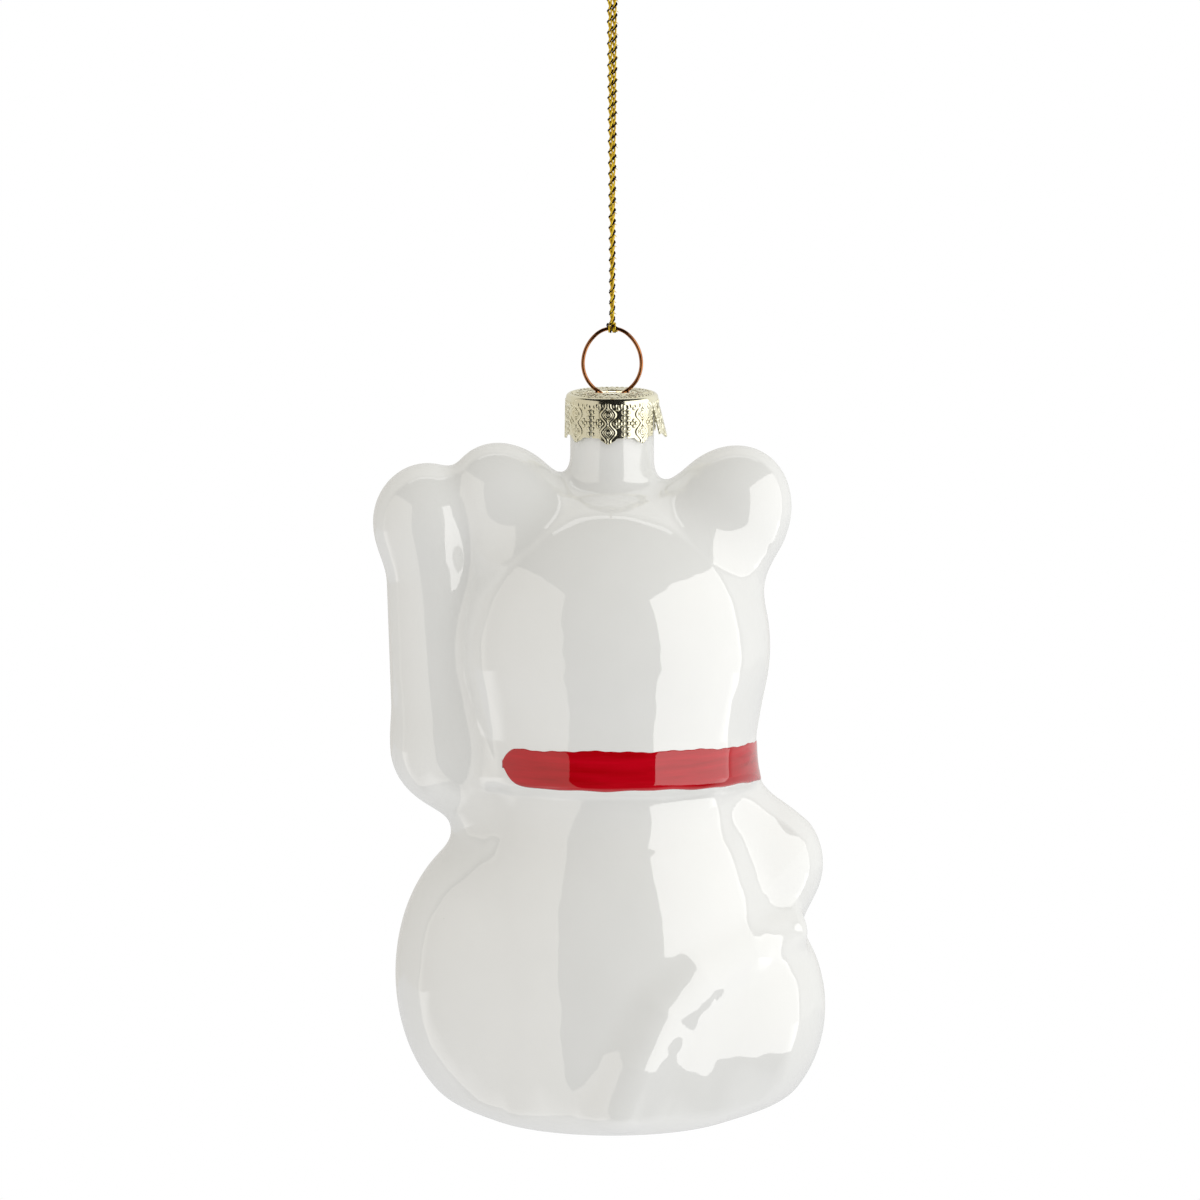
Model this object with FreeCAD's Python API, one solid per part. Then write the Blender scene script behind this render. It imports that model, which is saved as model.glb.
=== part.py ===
"""Beckoning cat ornament: a hollow blown-glass cat with painted details, hung by a doubled cord
from a wire ring in a pressed metal cap.

Millimetres, +Z up. The cat faces -Y, and +X is its left, the side of the raised paw. The shapes
are laid out with the flat base at z = 0 and are lowered by HANG_Z when they are written, so the
part's origin is the point that the cord hangs from.
"""

import FreeCAD
import Part
import math
import os

V = FreeCAD.Vector

# ---------------------------------------------------------------- driving dimensions

WALL = 0.9                # glass wall
LINING_GAP = 0.02         # between the glass and its pearl lining
LINING = 0.12             # thickness of the pearl lining
PAINT = 0.10              # thickness of a coat of paint
LINE_R = 0.2              # radius of a painted line, which stands half out of the glass
BODY_SHIFT = 1.0          # how far the cat's middle lies behind the neck's axis

NECK_R = 6.4
NECK_TOP = 111.2
NECK_FOOT = 101.5         # the neck is a plain tube from here up
NECK_BLEND = 3.0
BASE_ROUND = 4.5          # rounding between the flat base and the sides
BASE_DISC_R = 5.0

# Rounded masses of the cat: centre, radii, lean towards +X in degrees, blend with what is before.
MASSES = {
    "torso": ((0.0, 0.5, 22.0), (26.5, 24.5, 39.0), 0, 0),
    "left_haunch": ((17.2, -1.0, 21.8), (16.2, 18.5, 22.8), 0, 4),
    "right_haunch": ((-17.0, -1.0, 16.6), (15.9, 18.5, 18.4), 0, 3.5),
    "left_foot": ((12.5, -17.5, 6.0), (9.0, 10.5, 7.5), 0, 3),
    "right_foot": ((-12.5, -17.5, 6.0), (9.0, 10.5, 7.5), 0, 3),
    "throat": ((0.0, 0.0, 57.0), (20.8, 20.2, 16.0), 0, 5),
    "head": ((0.0, 0.0, 73.0), (24.2, 22.5, 25.5), 0, 6),
    "left_ear": ((15.6, 0.0, 93.4), (9.2, 7.8, 11.4), 30, 5),
    "right_ear": ((-17.2, 0.0, 92.6), (9.6, 7.8, 11.8), -30, 5),
    "muzzle": ((0.0, -18.5, 68.0), (9.0, 5.5, 6.5), 0, 5),
    "left_cheek": ((11.0, -12.0, 69.0), (11.0, 9.0, 10.0), 0, 6),
    "right_cheek": ((-11.0, -12.0, 69.0), (11.0, 9.0, 10.0), 0, 6),
    "bell": ((0.0, -20.5, 45.6), (4.6, 4.6, 4.6), 0, 1),
    "koban": ((5.0, -22.0, 27.0), (8.5, 5.0, 13.0), 12, 1.5),
    "left_paw": ((28.2, -1.0, 92.0), (8.3, 8.2, 9.0), 0, 2.5),
}
# Limbs: one end, its radius, the other end, its radius, blend.
LIMBS = {
    "left_shoulder": ((11.0, -1.0, 45.0), 9.0, (24.2, -1.0, 58.0), 9.0, 5),
    "left_arm": ((24.5, -1.0, 57.0), 9.2, (27.9, -1.0, 92.0), 6.9, 2.5),
    "right_upper_arm": ((-15.0, -1.0, 49.0), 6.8, (-22.4, -3.5, 38.6), 9.9, 5),
    "right_forearm": ((-22.0, -4.0, 38.0), 9.0, (-6.5, -20.5, 35.5), 6.0, 3),
}
# The tail lies in relief on the back: points along it, with its radius at each.
TAIL = [
    ((-1.0, 20.6, 5.5), 4.1),
    ((-3.6, 21.8, 12.5), 3.8),
    ((-7.3, 21.6, 20.6), 3.5),
    ((-12.6, 19.2, 25.3), 3.2),
    ((-19.6, 13.8, 28.3), 3.0),
    ((-27.0, 5.2, 29.6), 2.6),
]
TAIL_BLEND = 3.6

COLLAR_Z = 55.3
COLLAR_TILT = 0.09        # how much higher it stands per mm towards the back
COLLAR_FLARE = 0.15       # how much wider it is per mm downwards
COLLAR_HALF = 3.2
COLLAR_RX = 21.9
COLLAR_RY = 21.0
COLLAR_ROUND = 2.0
COLLAR_BLEND = 1.8
COLLAR_ENDS = (40.0, 320.0)    # where it meets the raised arm, degrees from +X
COLLAR_END_ROUND = 7.0    # length of its rounded ends, degrees
COLLAR_END_SHARE = 0.35   # its height at its very ends, as a share of the whole
COAT_MARGIN = 0.15        # how far the paint stops short of the collar's edges

# Skin: rays are cast from the neck's axis, as rows of columns.
COLUMNS = 84
COLUMN_CROWD = 0.4        # how much closer the columns stand by the raised arm
LOW_APEX = 20.0
HIGH_APEX = 80.0
LOW_ROWS = 10
SIDE_ROWS = 30
HIGH_ROWS = 14
NECK_ROWS = 4
HIGH_ANGLE = 70.0
SECTORS = 12              # the skin is cut into this many faces round the axis
BANDS = 6                 # and this many up it

# Ornament cap
SHEET = 0.25
CAP_R = 6.8
CAP_TOP = 111.7
CAP_SKIRT = 5.9
LOBE = 0.9
LOBE_HALF = 1.3
PANELS = 8
CAP_TURN = 17.5           # of the first slit from +X, degrees
SLIT = 0.36
SLIT_TOP = 110.2
CAP_HOLE_R = 2.4
LIP_R = 2.8
LIP = 0.2

# Hanger wire
WIRE_R = 0.28
RING_TOP = 122.1
RING_HALF = 4.45          # of the oval, across to the wire's middle
RING_CROWN_R = 3.64
RING_SHOULDER_R = 6.0
RING_FOOT_R = 5.0
RING_FOOT_ANGLE = 60.0    # how far the foot arcs run below the widest place
LEG_X = 1.45
LEG_BEND = 0.9
KNEE_Z = 108.3
KNEE_BEND = 4.0
LEG_END_X = 4.85
LEG_END_Z = 92.0

# Cord
CORD_D = 0.7
STRAND_OFF = 0.38         # each strand's centre from the pair's axis
CORD_TOP = 181.0
HITCH_R = 0.75
HITCH_HALF = 0.8
HITCH_BORE = WIRE_R + 0.112
KNOT_R = 1.35
KNOT_HALF = 1.7

HANG_Z = CORD_TOP


# ---------------------------------------------------------------- the cat as one smooth mass


def smooth_min(a, b, blend):
    """The lower of a and b, rounded where they are within blend of each other."""
    low = a if a < b else b
    gap = blend - abs(a - b)
    if gap <= 0.0:
        return low
    return low - gap * gap / (4.0 * blend)


def smooth_max(a, b, blend):
    return -smooth_min(-a, -b, blend)


def mass_test(centre, radii, lean):
    """A function of a point that is about its distance outside an ellipsoid."""
    cx, cy, cz = centre
    rx, ry, rz = radii
    cos_lean = math.cos(math.radians(lean))
    sin_lean = math.sin(math.radians(lean))

    def distance(x, y, z):
        x, y, z = x - cx, y - cy, z - cz
        x, z = x * cos_lean - z * sin_lean, x * sin_lean + z * cos_lean
        x, y, z = x / rx, y / ry, z / rz
        k = math.sqrt(x * x + y * y + z * z)
        x, y, z = x / rx, y / ry, z / rz
        slope = math.sqrt(x * x + y * y + z * z)
        return k * (k - 1.0) / max(slope, 1e-9)

    return distance


def limb_test(a, ra, b, rb):
    """A function of a point that is its distance outside a tapered limb with round ends."""
    ax, ay, az = a
    ux, uy, uz = (q - p for p, q in zip(a, b))
    length_sq = ux * ux + uy * uy + uz * uz

    def distance(x, y, z):
        x, y, z = x - ax, y - ay, z - az
        t = (x * ux + y * uy + z * uz) / length_sq
        t = min(max(t, 0.0), 1.0)
        x, y, z = x - t * ux, y - t * uy, z - t * uz
        return math.sqrt(x * x + y * y + z * z) - ra - (rb - ra) * t

    return distance


MASS_TESTS = [(mass_test(c, r, lean), blend) for c, r, lean, blend in MASSES.values()]
LIMB_TESTS = [(limb_test(a, ra, b, rb), blend) for a, ra, b, rb, blend in LIMBS.values()]
TAIL_TESTS = [limb_test(a, ra, b, rb) for (a, ra), (b, rb) in zip(TAIL, TAIL[1:])]


def outside(x, y, z):
    """About how far a point is outside the glass. It is below zero inside."""
    yc = y - BODY_SHIFT
    d = MASS_TESTS[0][0](x, yc, z)
    for test, blend in MASS_TESTS[1:] + LIMB_TESTS:
        d = smooth_min(d, test(x, yc, z), blend)
    d = smooth_min(d, min(test(x, yc, z) for test in TAIL_TESTS), TAIL_BLEND)
    d = smooth_max(d, -z, BASE_ROUND)
    band = (math.hypot(x / COLLAR_RX, yc / COLLAR_RY) - 1.0) * COLLAR_RY
    rise = z - COLLAR_Z - COLLAR_TILT * yc
    band = smooth_max(band + COLLAR_FLARE * rise, abs(rise) - COLLAR_HALF, COLLAR_ROUND)
    d = smooth_min(d, band, COLLAR_BLEND)
    neck = max(math.hypot(x, y) - NECK_R, HIGH_APEX - z)
    return smooth_min(d, neck, NECK_BLEND)


def cast(start, way):
    """The point where a ray from inside the cat first comes out of it."""
    x, y, z = start
    dx, dy, dz = way
    for _ in range(60):
        d = outside(x, y, z)
        if abs(d) < 0.0005:
            break
        step = -0.9 * d
        x, y, z = x + step * dx, y + step * dy, z + step * dz
    return (x, y, z)


def normal(point):
    """The outward direction of the glass at a point on it."""
    x, y, z = point
    h = 0.15
    n = V(
        outside(x + h, y, z) - outside(x - h, y, z),
        outside(x, y + h, z) - outside(x, y - h, z),
        outside(x, y, z + h) - outside(x, y, z - h),
    )
    return n.normalize()


# ---------------------------------------------------------------- blown glass and its lining


def row_rays():
    """The rays' rows, from the base to the foot of the neck: (height of the start, angle up)."""
    low_angle = -math.degrees(math.atan2(LOW_APEX, BASE_DISC_R))
    rows = [(LOW_APEX, low_angle * (1 - i / LOW_ROWS)) for i in range(LOW_ROWS)]
    side = HIGH_APEX - LOW_APEX
    rows += [(LOW_APEX + side * i / SIDE_ROWS, 0.0) for i in range(SIDE_ROWS)]
    rows += [(HIGH_APEX, HIGH_ANGLE * i / HIGH_ROWS) for i in range(HIGH_ROWS + 1)]
    return rows


def skin_grid():
    """Points of the glass's outer face, and its outward directions there, in rows."""
    even = [2 * math.pi * j / COLUMNS for j in range(COLUMNS)]
    turns = [t - COLUMN_CROWD * math.sin(t) for t in even]
    points = []
    ways = []
    for start_z, up in row_rays():
        cos_up = math.cos(math.radians(up))
        sin_up = math.sin(math.radians(up))
        row = [
            cast((0.0, 0.0, start_z), (math.cos(t) * cos_up, math.sin(t) * cos_up, sin_up))
            for t in turns
        ]
        points.append([V(*p) for p in row])
        ways.append([normal(p) for p in row])
    for i in range(NECK_ROWS):
        z = NECK_FOOT + (NECK_TOP - NECK_FOOT) * i / (NECK_ROWS - 1)
        points.append([V(NECK_R * math.cos(t), NECK_R * math.sin(t), z) for t in turns])
        ways.append([V(math.cos(t), math.sin(t), 0) for t in turns])
    base = points[0]
    points[0] = [V(p.x, p.y, 0) for p in base]
    ways[0] = [V(0, 0, -1)] * COLUMNS
    return points, ways


def skin_faces(points, ways, inset):
    """The skin through the grid, moved inwards by inset, cut into faces round and up the axis."""
    grid = [[p - w * inset for p, w in zip(*pair)] for pair in zip(points, ways)]
    grid[0] = [V(p.x, p.y, inset) for p in grid[0]]
    rows = len(grid)
    spans = rows - 3
    poles = [[grid[i][j] for i in range(rows)] for j in range(COLUMNS)]
    surface = Part.BSplineSurface()
    surface.buildFromPolesMultsKnots(
        poles,
        [1] * (COLUMNS + 1),
        [4] + [1] * (spans - 1) + [4],
        list(range(COLUMNS + 1)),
        list(range(spans + 1)),
        True,
        False,
        3,
        3,
    )
    faces = []
    for i in range(SECTORS):
        for j in range(BANDS):
            piece = surface.copy()
            piece.segment(
                COLUMNS * i / SECTORS,
                COLUMNS * (i + 1) / SECTORS,
                round(spans * j / BANDS),
                round(spans * (j + 1) / BANDS),
            )
            faces.append(piece.toShape())
    return faces


def level_ring(faces, z):
    """The ring of the faces' level edges at height z."""
    edges = [e for f in faces for e in f.Edges]
    level = [e for e in edges if e.BoundBox.ZLength < 1e-3 and abs(e.BoundBox.ZMin - z) < 1e-3]
    return Part.Wire(Part.__sortEdges__(level))


def hollow(points, ways, outer_inset, inner_inset):
    """The closed solid between two insets of the skin, open only at the top of the neck."""
    outer = skin_faces(points, ways, outer_inset)
    inner = skin_faces(points, ways, inner_inset)
    top_rings = [level_ring(outer, NECK_TOP), level_ring(inner, NECK_TOP)]
    ends = [
        Part.Face(level_ring(outer, outer_inset)),
        Part.Face(level_ring(inner, inner_inset)),
        Part.Face(top_rings),
    ]
    shell = Part.Shell(outer + inner + ends)
    shell.sewShape()
    solid = Part.Solid(shell)
    solid.fix(0.001, 0.001, 0.001)
    return solid


# ---------------------------------------------------------------- bars along a path


def rounded_path(points, radii):
    """Straight runs between points, joined by tangent arcs of the given radii."""
    edges = []
    start = points[0]
    for before, corner, after, radius in zip(points, points[1:], points[2:], radii):
        back = (before - corner).normalize()
        on = (after - corner).normalize()
        half = 0.5 * back.getAngle(on)
        reach = radius / math.tan(half)
        middle = (back + on).normalize()
        inner = corner + middle * (radius / math.sin(half) - radius)
        first, last = corner + back * reach, corner + on * reach
        if start.distanceToPoint(first) > 1e-6:
            edges.append(Part.LineSegment(start, first).toShape())
        edges.append(Part.Arc(first, inner, last).toShape())
        start = last
    edges.append(Part.LineSegment(start, points[-1]).toShape())
    return edges


def corner_radii(route):
    """The largest arcs that the runs of a route leave room for, one at each corner."""
    radii = []
    for before, corner, after in zip(route, route[1:], route[2:]):
        shorter = min(before.distanceToPoint(corner), corner.distanceToPoint(after))
        half_turn = 0.5 * (corner - before).getAngle(after - corner)
        radii.append(0.45 * shorter / math.tan(half_turn))
    return radii


def tube(edges, radius):
    """A round bar along tangent edges, checked against its section times its length."""
    path = Part.Wire(edges)
    start = path.Edges[0].firstVertex().Point
    way = path.Edges[0].tangentAt(path.Edges[0].FirstParameter)
    section = Part.Wire(Part.makeCircle(radius, start, way))
    bar = path.makePipeShell([section], True, False)
    expected = math.pi * radius * radius * path.Length
    if abs(bar.Volume / expected - 1.0) > 0.01:
        print(f"tube {path.Length:.1f} mm long has {bar.Volume / expected:.3f} of its volume")
    return bar


# ---------------------------------------------------------------- coats of paint


def coat(points):
    """A closed film PAINT thick on a grid of points of the glass."""
    ways = [[normal((p.x, p.y, p.z)) for p in row] for row in points]
    faces = []
    for rise in (0.0, PAINT):
        lifted = [[p + w * rise for p, w in zip(*pair)] for pair in zip(points, ways)]
        surface = Part.BSplineSurface()
        surface.interpolate(lifted)
        faces.append(surface.toShape())
    sides = [
        Part.makeRuledSurface(low, high)
        for low, high in zip(faces[0].Edges, faces[1].Edges)
    ]
    shell = Part.Shell(faces + sides)
    shell.sewShape()
    solid = Part.Solid(shell)
    solid.fix(0.001, 0.001, 0.001)
    if solid.Volume < 0:
        solid.reverse()
    return solid


def front_spot(centre, radii, lean=0.0, steps=9):
    """A round or long spot on the front: centre and radii across and up, and its lean."""
    cos_lean = math.cos(math.radians(lean))
    sin_lean = math.sin(math.radians(lean))
    marks = [2.0 * i / (steps - 1) - 1.0 for i in range(steps)]
    rows = []
    for b in marks:
        row = []
        for a in marks:
            across = a * math.sqrt(1 - 0.5 * b * b) * radii[0]
            up = b * math.sqrt(1 - 0.5 * a * a) * radii[1]
            x = centre[0] + across * cos_lean + up * sin_lean
            z = centre[1] + up * cos_lean - across * sin_lean
            row.append(V(*cast((x, BODY_SHIFT - 2.0, z), (0.0, -1.0, 0.0))))
        rows.append(row)
    return coat(rows)


def collar_coat(columns=49, rows=5):
    """The painted band, with rounded ends where it meets the raised arm."""
    first, last = (math.radians(end) for end in COLLAR_ENDS)
    half = COLLAR_HALF - COAT_MARGIN
    grid = []
    for i in range(columns):
        turn = first + (last - first) * i / (columns - 1)
        near_end = min(turn - first, last - turn) / math.radians(COLLAR_END_ROUND)
        rounded = math.sqrt(1 - (1 - min(near_end, 1.0)) ** 2)
        open_half = half * max(rounded, COLLAR_END_SHARE)
        middle = COLLAR_Z + COLLAR_TILT * COLLAR_RY * math.sin(turn)
        column = []
        for j in range(rows):
            z = middle + open_half * (2.0 * j / (rows - 1) - 1.0)
            point = cast((0.0, BODY_SHIFT, z), (math.cos(turn), math.sin(turn), 0.0))
            column.append(V(*point))
        grid.append(column)
    return coat(grid)


def painted_line(marks):
    """A raised line of paint over the front, through the given places across and up."""
    route = []
    for x, z in marks:
        point = cast((x, BODY_SHIFT - 2.0, z), (0.0, -1.0, 0.0))
        route.append(V(*point) + normal(point) * (0.5 * LINE_R))
    return tube(rounded_path(route, corner_radii(route)), LINE_R)


def mirrored_lines(marks):
    """The same painted line on the left and on the right."""
    return [painted_line([(side * x, z) for x, z in marks]) for side in (1, -1)]


def painted_details():
    """Name and solids of each coat on the front."""
    eyes = [front_spot((side * 9.0, 77.0), (2.6, 3.2), side * 6.0) for side in (1, -1)]
    ears = [
        front_spot((17.6, 95.4), (4.2, 6.0), 30, steps=11),
        front_spot((-18.6, 94.6), (4.4, 6.4), -30, steps=11),
    ]
    mouth = mirrored_lines([(0.3, 67.6), (1.4, 66.2), (2.9, 66.1), (4.1, 67.2)])
    whiskers = []
    for low, high in ((71.6, 73.0), (69.4, 69.7), (67.2, 66.4)):
        whiskers += mirrored_lines([(11.0, low), (14.5, 0.5 * (low + high) + 0.25), (18.0, high)])
    toes = []
    for x in (10.2, 14.8):
        toes += mirrored_lines([(x, 4.2), (x, 6.6), (x, 9.0)])
    return {
        "left_ear_paint": [ears[0]],
        "right_ear_paint": [ears[1]],
        "left_eye_paint": [eyes[0]],
        "right_eye_paint": [eyes[1]],
        "nose_paint": [front_spot((0.0, 70.4), (1.9, 1.3))],
        "mouth_paint": mouth,
        "whisker_paint": whiskers,
        "bell_paint": [front_spot((0.0, 45.6), (3.7, 3.7), 0, 11)],
        "koban_paint": [front_spot((5.0, 27.0), (6.6, 10.6), 12, 11)],
        "toe_line_paint": toes,
    }


# ---------------------------------------------------------------- ornament cap


def cap_notch(index):
    """What is cut away between two panels of the skirt: a slit, and the corners by the lobes."""
    half_panel = math.pi * CAP_R / PANELS
    bottom = CAP_TOP - CAP_SKIRT
    lobe_foot = half_panel - LOBE_HALF
    outline = [
        (half_panel, bottom - LOBE - 1.0),
        (half_panel, bottom - LOBE),
        (lobe_foot, bottom),
        (SLIT / 2, bottom),
        (SLIT / 2, SLIT_TOP),
    ]
    outline += [(-across, z) for across, z in reversed(outline)]
    corners = [V(CAP_R - 1.0, across, z) for across, z in outline]
    prism = Part.Face(Part.makePolygon(corners + corners[:1])).extrude(V(2.0, 0, 0))
    prism.rotate(V(0, 0, 0), V(0, 0, 1), CAP_TURN + 360.0 * index / PANELS)
    return prism


def ornament_cap():
    height = CAP_SKIRT + LOBE
    cap = Part.makeCylinder(CAP_R, height, V(0, 0, CAP_TOP - height))
    inside = Part.makeCylinder(CAP_R - SHEET, height - SHEET, V(0, 0, CAP_TOP - height))
    cap = cap.cut(inside)
    cap = cap.cut([cap_notch(i) for i in range(PANELS)])
    lip = Part.makeCylinder(LIP_R, LIP + SHEET, V(0, 0, CAP_TOP - SHEET))
    hole = Part.makeCylinder(CAP_HOLE_R, LIP + 2, V(0, 0, CAP_TOP - 1))
    return cap.fuse(lip).cut(hole).removeSplitter()


# ---------------------------------------------------------------- hanger wire


def ring_arc(centre_x, centre_z, radius, first, last):
    """An arc in the ring's plane, between angles up from +X in degrees."""
    places = []
    for angle in (first, 0.5 * (first + last), last):
        turn = math.radians(angle)
        x = centre_x + radius * math.cos(turn)
        z = centre_z + radius * math.sin(turn)
        places.append(V(x, 0, z))
    return Part.Arc(*places).toShape()


def hanger_wire():
    """An open oval ring whose ends run in through the cap and spread inside the neck."""
    crown_z = RING_TOP - WIRE_R - RING_CROWN_R
    shoulder_x = RING_HALF - RING_SHOULDER_R
    drop = math.sqrt((RING_SHOULDER_R - RING_CROWN_R) ** 2 - shoulder_x**2)
    widest_z = crown_z - drop
    join = math.degrees(math.atan2(drop, -shoulder_x))
    crown = ring_arc(0, crown_z, RING_CROWN_R, join, 180 - join)
    shoulder = ring_arc(shoulder_x, widest_z, RING_SHOULDER_R, 0, join)
    foot_x = RING_HALF - RING_FOOT_R
    foot = ring_arc(foot_x, widest_z, RING_FOOT_R, -RING_FOOT_ANGLE, 0)
    turn = math.radians(RING_FOOT_ANGLE)
    foot_end = V(foot_x + RING_FOOT_R * math.cos(turn), 0, widest_z - RING_FOOT_R * math.sin(turn))
    corner_z = foot_end.z - (foot_end.x - LEG_X) / math.tan(turn)
    leg = rounded_path(
        [V(LEG_END_X, 0, LEG_END_Z), V(LEG_X, 0, KNEE_Z), V(LEG_X, 0, corner_z), foot_end],
        [KNEE_BEND, LEG_BEND],
    )
    half = leg + [foot, shoulder]
    other = [e.mirror(V(0, 0, 0), V(1, 0, 0)) for e in half]
    return tube(Part.__sortEdges__(half + [crown] + other), WIRE_R)


# ---------------------------------------------------------------- cord


def strand_route(side):
    """One half of the doubled cord. The pair lies front to back at the ring and side by side
    at the knot."""
    foot = RING_TOP + 0.4
    rise = CORD_TOP - 0.5 - foot
    quarter = ((0.0, 90.0), (0.33, 72.0), (0.67, 30.0), (1.0, 0.0))
    return [
        V(
            side * STRAND_OFF * math.cos(math.radians(turn)),
            side * STRAND_OFF * math.sin(math.radians(turn)),
            foot + rise * share,
        )
        for share, turn in quarter
    ]


def strand(side):
    route = strand_route(side)
    radii = corner_radii(route)
    edges = rounded_path(route, radii)
    length = sum(edge.Length for edge in edges)
    print(f"cord half {length:.1f} mm long, radii in mm:", ", ".join(f"{r:.0f}" for r in radii))
    return tube(edges, CORD_D / 2)


def cord_hitch():
    """The outer shape of the cord's hitch round the top of the ring."""
    middle = V(-HITCH_HALF, 0, RING_TOP - WIRE_R)
    roll = Part.makeCylinder(HITCH_R, 2 * HITCH_HALF, middle, V(1, 0, 0))
    roll = roll.makeFillet(0.25, [e for e in roll.Edges if e.isClosed()])
    return roll.cut(Part.makeCylinder(HITCH_BORE, 2 * HITCH_HALF, middle, V(1, 0, 0)))


def cord_knot():
    """The overhand knot that closes the loop."""
    ball = Part.makeSphere(KNOT_R)
    stretch = FreeCAD.Matrix()
    stretch.scale(1.0, 0.9, KNOT_HALF / KNOT_R)
    ball = ball.transformGeometry(stretch)
    ball.translate(V(0, 0, CORD_TOP + KNOT_HALF - 0.5))
    return ball


# ---------------------------------------------------------------- write the nodes


def write(node, solids):
    shape = solids[0] if len(solids) == 1 else Part.makeCompound(solids)
    shape = shape.copy()
    shape.translate(V(0, 0, -HANG_Z))
    for solid in shape.Solids:
        if not solid.isValid() or solid.Volume <= 0:
            print(f"{node}: bad solid, volume {solid.Volume:.3f}")
    shape.exportStep(f"parts/{node}.step")


def main():
    os.makedirs("parts", exist_ok=True)
    points, ways = skin_grid()
    write("glass_body", [hollow(points, ways, 0.0, WALL)])
    lining = WALL + LINING_GAP
    write("pearl_lining", [hollow(points, ways, lining, lining + LINING)])
    write("collar_paint", [collar_coat()])
    for node, solids in painted_details().items():
        write(node, solids)
    write("ornament_cap", [ornament_cap()])
    write("hanger_wire", [hanger_wire()])
    write("cord_strand_left", [strand(1)])
    write("cord_strand_right", [strand(-1)])
    write("cord_hitch", [cord_hitch()])
    write("cord_knot", [cord_knot()])


main()
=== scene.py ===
"""Looks for the beckoning cat ornament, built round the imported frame.

Shapes are worked out in millimetres on the part's own layout, with the cat's base at z = 0, and
are written in metres in the row frame, whose origin is the point that the cord hangs from.
"""

import bpy
import math
import numpy as np
import openvdb
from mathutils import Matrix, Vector


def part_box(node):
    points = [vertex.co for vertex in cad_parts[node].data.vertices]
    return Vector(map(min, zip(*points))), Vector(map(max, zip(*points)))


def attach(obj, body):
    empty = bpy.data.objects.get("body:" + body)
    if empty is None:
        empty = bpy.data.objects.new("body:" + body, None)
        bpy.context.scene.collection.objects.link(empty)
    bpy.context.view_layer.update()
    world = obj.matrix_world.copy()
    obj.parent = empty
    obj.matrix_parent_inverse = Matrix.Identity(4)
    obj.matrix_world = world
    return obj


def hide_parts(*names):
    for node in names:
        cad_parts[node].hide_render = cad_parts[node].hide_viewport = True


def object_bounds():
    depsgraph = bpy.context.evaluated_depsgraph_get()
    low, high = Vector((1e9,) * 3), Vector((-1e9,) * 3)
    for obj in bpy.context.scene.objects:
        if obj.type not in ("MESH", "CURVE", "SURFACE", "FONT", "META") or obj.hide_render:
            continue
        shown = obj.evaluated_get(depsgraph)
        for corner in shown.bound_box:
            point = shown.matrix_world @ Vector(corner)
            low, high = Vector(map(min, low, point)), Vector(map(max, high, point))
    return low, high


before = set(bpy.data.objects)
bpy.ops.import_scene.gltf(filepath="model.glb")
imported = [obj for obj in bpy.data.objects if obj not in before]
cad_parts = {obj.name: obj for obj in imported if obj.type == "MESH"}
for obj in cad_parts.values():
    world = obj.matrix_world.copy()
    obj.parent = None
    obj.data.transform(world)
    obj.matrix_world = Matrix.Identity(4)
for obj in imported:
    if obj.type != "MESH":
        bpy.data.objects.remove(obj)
cad_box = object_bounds()

MM = 0.001
BASE_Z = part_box("glass_body")[0][2] / MM        # the cat's base in the row frame, in mm
TINY = 1e-9                                     # keeps divisors above zero

# ---------------------------------------------------------------- the cat's dimensions, mm

BODY_SHIFT = 1.0
NECK_R = 6.4
NECK_TOP = 111.2
NECK_FOOT = 73.0         # inside the head
NECK_BORE_R = 5.2
NECK_BORE_FOOT = 90.0
NECK_BLEND = 3.0
NECK_LIP_ROUND = 0.3
BASE_ROUND = 4.5

# centre, radii, lean towards +X in degrees, blend with what is listed before it
MASSES = {
    "torso": ((0.0, 0.5, 22.0), (26.5, 24.5, 39.0), 0, 0),
    "left_haunch": ((17.2, -1.0, 21.8), (16.2, 18.5, 22.8), 0, 4),
    "right_haunch": ((-17.0, -1.0, 16.6), (15.9, 18.5, 18.4), 0, 3.5),
    "left_foot": ((12.5, -17.5, 6.0), (9.0, 10.5, 7.5), 0, 3),
    "right_foot": ((-12.5, -17.5, 6.0), (9.0, 10.5, 7.5), 0, 3),
    "throat": ((0.0, 0.0, 57.0), (20.8, 20.2, 16.0), 0, 5),
    "head": ((0.0, 0.0, 73.0), (24.2, 22.5, 25.5), 0, 6),
    "left_ear": ((15.6, 0.0, 93.4), (9.2, 7.8, 11.4), 30, 5),
    "right_ear": ((-17.2, 0.0, 92.6), (9.6, 7.8, 11.8), -30, 5),
    "muzzle": ((0.0, -18.5, 68.0), (9.0, 5.5, 6.5), 0, 5),
    "left_cheek": ((11.0, -12.0, 69.0), (11.0, 9.0, 10.0), 0, 6),
    "right_cheek": ((-11.0, -12.0, 69.0), (11.0, 9.0, 10.0), 0, 6),
    "bell": ((0.0, -20.5, 45.6), (4.6, 4.6, 4.6), 0, 1),
    "koban": ((5.0, -22.0, 27.0), (8.5, 5.0, 13.0), 12, 1.5),
    "left_paw": ((28.2, -1.0, 92.0), (8.3, 8.2, 9.0), 0, 2.5),
}
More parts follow.
